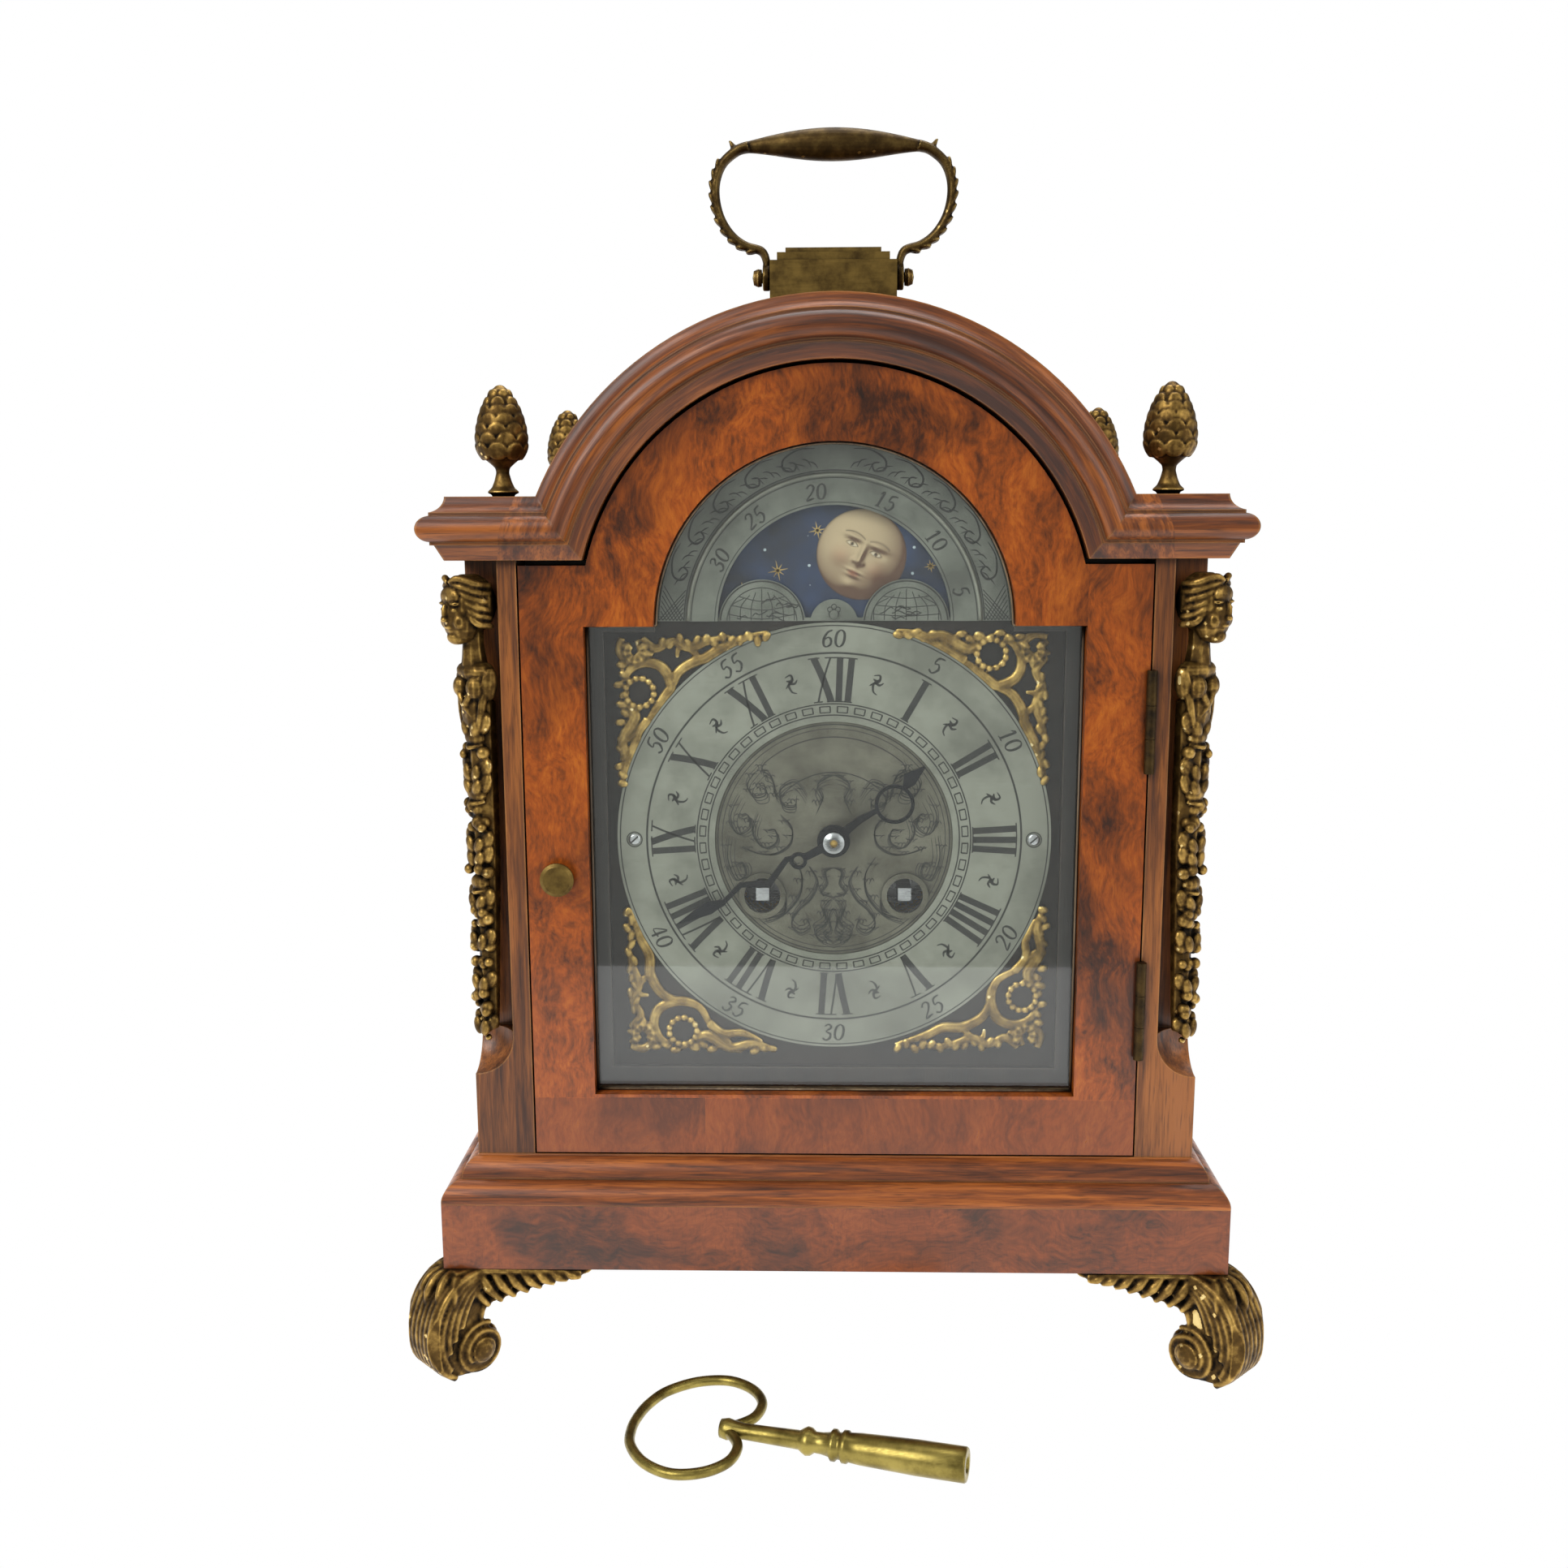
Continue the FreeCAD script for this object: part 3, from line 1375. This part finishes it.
def make_train():
    """Going train from the barrel to the escape wheel, and the strike's first two arbors."""
    thick = float(D.wheel_thick)
    deep = 3.4
    second_phase = 0.1
    great_phase = meshed(second_at, TEETH["second_pinion"], second_phase, going_at, TEETH["great"])
    make_barrel("going_barrel", going_at, great_phase)
    centre_phase = meshed(second_at, TEETH["second"], second_phase, centre_at,
                          TEETH["centre_pinion"])
    third_phase = meshed(centre_at, TEETH["centre"], centre_phase, third_at,
                         TEETH["third_pinion"])
    escape_phase = meshed(third_at, TEETH["third"], third_phase, escape_at,
                          TEETH["escape_pinion"])
    second = arbor(second_at)
    second.append(y_rod(D.arbor_radius, great_y - 6.0, float(rear_plate_y) - 0.5, *second_at))
    second.append(lifted(gear(TEETH["second"], float(D.second_module), second_phase, thick),
                         second_y, second_at))
    second.append(lifted(gear(TEETH["second_pinion"], float(D.train_module), second_phase, deep),
                         great_y - 0.6, second_at))
    keep(feature("second_wheel_shape", union(second)), "second_wheel")

    thin = float(D.arbor_radius)
    front = float(minute_hand_y) - 0.6
    centre = [y_rod(thin, front, rear_plate_back_y, *centre_at)]
    centre.append(lifted(gear(TEETH["centre_pinion"], float(D.second_module), centre_phase, 2.4),
                         second_y - 0.5, centre_at))
    centre.append(lifted(gear(TEETH["centre"], float(D.centre_module), centre_phase, thick),
                         centre_y, centre_at))
    cannon_phase = 0.0
    centre.append(lifted(gear(TEETH["cannon"], float(D.motion_module), cannon_phase, 2.0),
                         cannon_y, centre_at))
    keep(feature("centre_arbor_shape", union(centre)), "centre_arbor")

    third = arbor(third_at)
    third.append(lifted(gear(TEETH["third_pinion"], float(D.centre_module), third_phase, 2.6),
                        centre_y - 0.4, third_at))
    third.append(lifted(gear(TEETH["third"], float(D.third_module), third_phase, thick),
                        third_y, third_at))
    keep(feature("third_wheel_shape", union(third)), "third_wheel")

    escape = arbor(escape_at)
    escape.append(lifted(gear(TEETH["escape_pinion"], float(D.third_module), escape_phase, 2.6),
                         third_y - 0.6, escape_at))
    points = []
    tip = float(D.escape_radius)
    for i in range(TEETH["escape"]):
        for share, radius in ((0.0, tip), (0.3, tip - 1.9)):
            angle = 2 * math.pi * (i + share) / TEETH["escape"]
            points.append(Vector(radius * math.cos(angle), 0, radius * math.sin(angle)))
    escape.append(lifted(prism(points, Vector(0, thick, 0)), escape_y, escape_at))
    keep(feature("escape_wheel_shape", union(escape)), "escape_wheel")

    strike_phase = 0.2
    great_phase = meshed(strike_wheel_at, TEETH["second_pinion"], strike_phase, strike_at,
                         TEETH["great"])
    make_barrel("strike_barrel", strike_at, great_phase)
    strike = arbor(strike_wheel_at)
    strike.append(y_rod(D.arbor_radius, great_y - 6.0, float(rear_plate_y) - 0.5,
                        *strike_wheel_at))
    strike.append(lifted(gear(TEETH["second"], float(D.second_module), strike_phase, thick),
                         second_y, strike_wheel_at))
    strike.append(lifted(gear(TEETH["second_pinion"], float(D.train_module), strike_phase, deep),
                         great_y - 0.6, strike_wheel_at))
    keep(feature("strike_wheel_shape", union(strike)), "strike_wheel")
    make_winding_arbor("going_arbor", going_at)
    make_winding_arbor("strike_arbor", strike_at)

    minute_phase = meshed(centre_at, TEETH["cannon"], cannon_phase, minute_wheel_at,
                          TEETH["minute"])
    bore = 1.0 + float(D.running_clearance)
    minute = [gear(TEETH["minute"], float(D.motion_module), minute_phase, 1.2)]
    hub = gear(TEETH["minute_pinion"], float(D.motion_module), minute_phase, 4.2)
    minute_shape = union([lifted(minute[0], cannon_y + 0.4, minute_wheel_at),
                          lifted(hub, hour_y - 0.4, minute_wheel_at)])
    minute_shape = minute_shape.cut(y_rod(bore, hour_y - 2, cannon_y + 9, *minute_wheel_at))
    keep(feature("minute_wheel_shape", minute_shape), "minute_wheel")

    hour_phase = meshed(minute_wheel_at, TEETH["minute_pinion"], minute_phase, centre_at,
                        TEETH["hour"])
    hour = lifted(gear(TEETH["hour"], float(D.motion_module), hour_phase, 1.2), hour_y, centre_at)
    pipe = y_rod(pipe_radius, float(hour_hand_y), hour_y + 1.8, *centre_at)
    bore = thin + float(D.running_clearance)
    hour = union([hour, pipe]).cut(y_rod(bore, float(hour_hand_y) - 1, hour_y + 3, *centre_at))
    keep(feature("hour_wheel_shape", hour), "hour_wheel")


def make_pendulum():
    """Pallets on their arbor, and the bob pendulum fixed to the arbor's rear end."""
    at = pallet_at
    swing_y = float(rear_plate_back_y) + 6.0
    reach = float(D.escape_radius) + float(D.pallet_gap)
    ends = []
    for sign in (-1, 1):
        angle = math.radians(90 + sign * 42)
        ends.append((escape_at[0] + reach * math.cos(angle),
                     escape_at[1] + reach * math.sin(angle)))
    left, right = (ends[1], ends[0])
    arms = ribbon([(left[0], left[1]), (left[0] + 1.0, at[1] - 0.5), at,
                   (right[0] - 1.0, at[1] - 0.5), (right[0], right[1])],
                  [1.0, 2.4, 3.0, 2.4, 1.0])
    pallets = prism(arms, Vector(0, float(D.wheel_thick), 0))
    pallets.translate(Vector(0, escape_y, 0))
    pieces = arbor(at, swing_y + 1.5)
    pieces.append(pallets)
    keep(feature("pallets_shape", union(pieces)), "pallets")
    low = float(D.case_foot_z) + float(D.bob_height)
    length = at[1] - low
    stem = Part.makeCylinder(1.0, length + 2.0,
                             Vector(0, swing_y, low - 2.0))
    eye = y_rod(3.0, swing_y - 1.5, swing_y + 1.5, *at)
    half = float(D.bob_thick) / 2
    radius = float(D.bob_radius)
    bob = turned([(0, -half), (radius * 0.6, -half * 0.8), (radius, -0.5), (radius, 0.5),
                  (radius * 0.6, half * 0.8), (0, half)],
                 Vector(0, swing_y, low), Vector(0, 1, 0))
    nut = Part.makeCylinder(2.4, 2.6, Vector(0, swing_y, low - radius - 2.0))
    screw = Part.makeCylinder(1.0, radius, Vector(0, swing_y, low - radius - 1.0))
    shape = union([stem, eye, bob, nut, screw]).cut(
        y_rod(D.pivot_radius, swing_y - 9, swing_y + 1.5, *at))
    keep(feature("pendulum_shape", shape), "pendulum")


def build_movement():
    make_plates()
    make_train()
    make_pendulum()
    make_bell()
    make_hammer()


# Top, handle and mounts

def make_handle_pad():
    """Stepped brass block that sits on the crown of the roof."""
    half = D.pad_half_width
    deep = D.pad_half_depth
    step = D.pad_step
    low = D.arch_centre_z
    lower = block("pad_lower", -half, half, -deep, deep, low, D.pad_top_z - 2.0 * step)
    middle = block("pad_middle", -half + step, half - step, -deep + step, deep - step,
                   low, D.pad_top_z - step * 0.8)
    upper = block("pad_upper", -half + 2.2 * step, half - 2.2 * step,
                  -deep + 2.2 * step, deep - 2.2 * step, low, D.pad_top_z)
    body = fused("pad_body", [lower, middle, upper])
    barrel = rod("pad_saddle", arch_outer_radius, D.case_half_depth * 2, 0.0, front_y,
                 D.arch_centre_z, "y")
    hole = rod("pad_stud_hole", D.stud_radius, D.pad_half_width * 3, D.pad_half_width * -1.5,
               0.0, D.handle_pivot_z, "x")
    keep(cut("handle_pad_cut", body, [barrel, hole]), "handle_pad")


def make_handle():
    """Cast bail: swollen grip, oval sides and two lugs that turn on the studs."""
    pivot = float(D.handle_pivot_z)
    top = float(D.handle_top_z)
    wide = float(D.handle_half_width)
    grip = float(D.grip_radius)
    middle_z = top - grip
    shoulder = wide * 0.77
    lug_in = float(D.pad_half_width + D.lug_gap)
    lug_x = lug_in + float(D.lug_thick) / 2
    rise = middle_z - pivot
    route = [
        (lug_x, pivot), (lug_x, pivot + 3.0), (lug_x + 2.2, pivot + 7.0),
        (wide * 0.80, pivot + rise * 0.32), (wide * 0.945, pivot + rise * 0.46),
        (wide - 1.7, pivot + rise * 0.62), (wide - 3.4, pivot + rise * 0.80),
        (shoulder, middle_z - 0.9), (shoulder - 4.0, middle_z - 0.2),
    ]
    halves = [(1.1, 2.6), (1.3, 2.4), (1.7, 2.4), (1.7, 2.6), (1.7, 2.8), (1.7, 2.8),
              (1.5, 2.6), (1.5, 2.0), (1.5, 1.6)]
    across = Vector(0, 1, 0)
    pieces = []
    for sign in (-1, 1):
        points = [Vector(sign * x, 0, z) for x, z in route]
        pieces.append(tube(points, halves, across, 8))
        lug = Part.makeCylinder(float(D.lug_radius), float(D.lug_thick),
                                Vector(sign * lug_in, 0, pivot), Vector(sign, 0, 0))
        pieces.append(lug)
        spur = Part.makeCone(1.3, 0.3, 4.0, Vector(sign * (shoulder - 0.5), 0, middle_z - 0.6),
                             Vector(sign * 0.7, 0, 0.7))
        pieces.append(spur)
    ends = shoulder - 3.0
    profile = [(0, -ends), (1.6, -ends), (2.4, -ends * 0.72), (4.0, -ends * 0.42),
               (grip, -ends * 0.12), (grip, ends * 0.12), (4.0, ends * 0.42),
               (2.4, ends * 0.72), (1.6, ends), (0, ends)]
    pieces.append(turned(profile, Vector(0, 0, middle_z), Vector(1, 0, 0)))
    handle = pieces[0].multiFuse(pieces[1:])
    bore = float(D.stud_radius + D.running_clearance)
    handle = handle.cut(Part.makeCylinder(bore, 4 * wide, Vector(-2 * wide, 0, pivot),
                                          Vector(1, 0, 0)))
    keep(feature("handle_shape", handle), "handle")


def make_studs():
    """Ball-headed pivot studs, screwed into the ends of the pad."""
    radius = float(D.stud_radius)
    start = float(D.pad_half_width) - 8.0
    face = float(D.pad_half_width + D.lug_gap + D.lug_thick) + 0.3
    studs = []
    for sign in (-1, 1):
        profile = [(0, start), (radius, start), (radius, face), (2.6, face), (2.8, face + 1.2),
                   (2.2, face + 2.6), (0, face + 3.0)]
        studs.append(turned(profile, Vector(0, 0, float(D.handle_pivot_z)), Vector(sign, 0, 0)))
    keep(feature("stud_shapes", Part.makeCompound(studs)), "handle_studs")


def make_finials():
    """Four turned pine-cone finials on the decks."""
    z = float(cornice_top_z)
    height = float(D.finial_height)
    radius = float(D.finial_radius)
    profile = [(0, 0), (4.8, 0), (4.8, 1.4), (3.4, 2.6), (2.2, 4.6), (2.2, 7.4), (3.6, 9.4),
               (5.4, 11.2), (radius * 0.92, 14.5), (radius, 18.5), (radius * 0.9, 22.5),
               (radius * 0.66, 26.5), (radius * 0.36, 30.0), (1.0, height), (0, height)]
    cones = []
    for sign in (-1, 1):
        for y in (D.finial_front_y, D.finial_rear_y):
            cones.append(turned(profile, Vector(sign * float(finial_x), float(y), z),
                                Vector(0, 0, 1)))
    keep(feature("finial_shapes", Part.makeCompound(cones)), "finials")


def foot_shape():
    """The front right foot: a scroll on the diagonal under the plinth's corner, with two wings."""
    top = float(D.foot_height)
    wide = float(D.foot_width)
    reach = float(D.foot_reach)
    corner = Vector(float(plinth_half_width), -float(plinth_half_depth), 0)
    out = Vector(1, -1, 0).normalize()
    across = Vector(1, 1, 0).normalize()
    bulge = reach - 3.2
    route = [(-13.0, top - 2.0), (-6.0, top - 3.6), (bulge - 4.6, top - 8.0),
             (bulge - 0.8, top - 14.0), (bulge, 13.4), (bulge - 1.6, 7.0), (bulge - 5.4, 2.9),
             (bulge - 11.0, 1.9), (-10.4, 5.2), (-11.8, 9.6), (-8.8, 13.2), (-5.0, 12.4)]
    halves = [3.4, 3.8, 3.8, 3.5, 3.3, 3.2, 3.1, 2.9, 2.6, 2.3, 2.0, 1.4]
    points = [corner + out * u + Vector(0, 0, z) for u, z in route]
    sizes = [(half, wide * 0.62) for half in halves]
    scroll = tube(points, sizes, across, 8)
    limit = Part.makeBox(wide, 80, 60, Vector(-wide / 2, -60, 0))
    limit.rotate(Vector(0, 0, 0), Vector(0, 0, 1), 45)
    limit.translate(corner)
    scroll = scroll.common(limit)
    hub = corner + out * -7.2 + Vector(0, 0, 8.0)
    boss = Part.makeCylinder(6.4, wide + 2.0, hub - across * (wide / 2 + 1.0), across)
    button = Part.makeCylinder(3.9, wide + 5.0, hub - across * (wide / 2 + 2.5), across)
    cheek = [(-16.0, top), (-1.0, top), (1.2, top - 9.0), (-6.0, 21.0), (-14.0, 24.0)]
    web = prism([corner + out * u + Vector(0, 0, z) - across * (wide * 0.38) for u, z in cheek],
                across * (wide * 0.76))
    length = float(D.wing_length)
    thick = float(D.wing_thick)
    shapes = [scroll, boss, button, web]
    for turn in (False, True):
        profile = [(-5.0, top), (-length, top), (-length + 2.0, top - 2.0),
                   (-length * 0.76, top - 4.4), (-length * 0.5, top - 8.2),
                   (-length * 0.27, top - 12.6), (-8.0, top - 14.0)]
        if turn:
            points = [Vector(corner.x - 1.6, corner.y - u, z) for u, z in profile]
            wing = prism(points, Vector(-thick, 0, 0))
        else:
            points = [Vector(corner.x + u, corner.y + 1.6, z) for u, z in profile]
            wing = prism(points, Vector(0, thick, 0))
        shapes.append(wing)
    foot = shapes[0].multiFuse(shapes[1:])
    floor = half_space(Vector(0, 0, 0), Vector(0, 0, -1))
    above = half_space(Vector(0, 0, top), Vector(0, 0, 1))
    return foot.cut(floor).cut(above)


def make_feet():
    front_right = foot_shape()
    front_left = mirrored(front_right)
    across = Vector(0, 1, 0)
    rear = [shape.mirror(Vector(0, 0, 0), across) for shape in (front_left, front_right)]
    keep(feature("front_feet_shape", Part.makeCompound([front_left, front_right])), "feet_front")
    keep(feature("rear_feet_shape", Part.makeCompound(rear)), "feet_rear")


def make_figure(sign, label):
    """Corner figure: head, bust and a tapering garland, cast hollow against the recess."""
    edge_x = float(D.case_half_width)
    edge_y = float(front_y)
    top = float(D.case_top_z) - 2.0
    limit = float(D.recess_size) - float(D.figure_clearance)
    head = float(D.figure_head_radius)
    rings = [
        (0.0, 3.8, 3.0), (-2.0, 3.8, 6.2), (-7.0, 3.8, head), (-13.0, 4.0, head - 0.4),
        (-18.0, 4.6, 5.4), (-21.0, 5.6, 3.4), (-25.0, 6.4, 2.9), (-28.0, 6.4, 4.8),
        (-31.0, 6.2, 5.2), (-40.0, 6.2, 5.0), (-45.0, 6.8, 3.6),
    ]
    step = 7.65
    count = 12
    for i in range(count):
        middle = -48.0 - step * i
        size = 4.3 - 0.7 * i / count
        rings.append((middle, 7.0, size))
        rings.append((middle - step / 2, 7.2, size * 0.68))
    rings.append((-48.0 - step * count + 1.0, 6.4, 3.0))
    rings.append((-48.0 - step * count - 4.0, 5.2, 1.0))
    loops = []
    for drop, inwards, radius in rings:
        ring = []
        for k in range(8):
            angle = 2 * math.pi * (k + 0.5) / 8
            x = edge_x - inwards + radius * math.cos(angle)
            y = edge_y + inwards + radius * math.sin(angle)
            ring.append(Vector(max(x, edge_x - limit), min(y, edge_y + limit), top + drop))
        loops.append(ring)
    shape = loft(loops)
    if sign < 0:
        shape = mirrored(shape)
    keep(feature(label + "_shape", shape), label)


def build_ornament():
    make_handle_pad()
    make_handle()
    make_studs()
    make_finials()
    make_feet()
    make_figure(-1, "figure_left")
    make_figure(1, "figure_right")


# Winding key

def make_key():
    """Key: wire bow, turned shank and a barrel with a square socket."""
    length = float(D.key_length)
    barrel = float(D.key_barrel_radius)
    half_width = float(D.key_bow_width) / 2
    bow_length = float(D.key_bow_length)
    wire_radius = float(D.key_wire_radius)
    start = length - bow_length
    profile = [(0, 0), (barrel, 0), (barrel, 2.0), (barrel - 0.9, 40.0), (barrel, 41.0),
               (barrel, 43.0), (barrel - 1.2, 44.0), (barrel - 0.4, 46.0), (barrel - 0.4, 48.0),
               (2.6, 49.5), (2.4, start - 4.0), (3.4, start - 2.0), (2.2, start + 1.0),
               (0, start + 1.0)]
    shaft = turned(profile, Vector(0, 0, 0), Vector(-1, 0, 0))
    outline = [(0.02, 0.10), (0.10, 0.42), (0.34, 0.80), (0.66, 0.98), (0.90, 0.72),
               (0.99, 0.30), (1.0, 0.0)]
    bow = [Vector(-start - (bow_length - wire_radius) * a, (half_width - wire_radius) * b, 0)
           for a, b in outline]
    half = tube(bow, [(wire_radius, wire_radius)] * len(bow), Vector(0, 0, 1))
    other = half.mirror(Vector(0, 0, 0), Vector(0, 1, 0))
    join = Part.makeSphere(2.6, Vector(-start, 0, 0))
    square = float(D.winding_square) + 0.2
    socket = Part.makeBox(16.0, square, square, Vector(-16.0, -square / 2, -square / 2))
    key = shaft.multiFuse([half, other, join]).cut(socket)
    drop = barrel - wire_radius
    key.rotate(Vector(0, 0, 0), Vector(0, 1, 0), -math.degrees(math.asin(drop / length)))
    key.rotate(Vector(0, 0, 0), Vector(0, 0, 1), float(D.key_turn))
    key.translate(Vector(float(D.key_end_x), float(D.key_end_y), barrel))
    key.translate(Vector(0, 0, -key.optimalBoundingBox().ZMin))
    keep(feature("winding_key_shape", key), "winding_key")


def check(item):
    """Stops the build where a sub-part failed or isn't a sound solid."""
    if "Invalid" in item.State or "Error" in item.State:
        raise RuntimeError("%s: %s" % (item.Label, item.State))
    shape = item.Shape
    if shape.isNull() or not shape.isValid() or not shape.Solids:
        raise RuntimeError("%s has no valid solid" % item.Label)


def main():
    build_case()
    build_front_door()
    build_rear_door()
    build_dial()
    build_movement()
    build_ornament()
    make_key()
    doc.recompute()
    for item in doc.Objects:
        if "Invalid" in item.State or "Error" in item.State:
            raise RuntimeError("%s: %s" % (item.Name, item.State))
    for item in SUBPARTS:
        check(item)
    os.makedirs("parts", exist_ok=True)
    for item in SUBPARTS:
        item.Shape.exportStep("parts/%s.step" % item.Label)
        print(item.Label, len(item.Shape.Solids), round(item.Shape.Volume, 1))
    print(len(SUBPARTS), "sub-parts")


main()
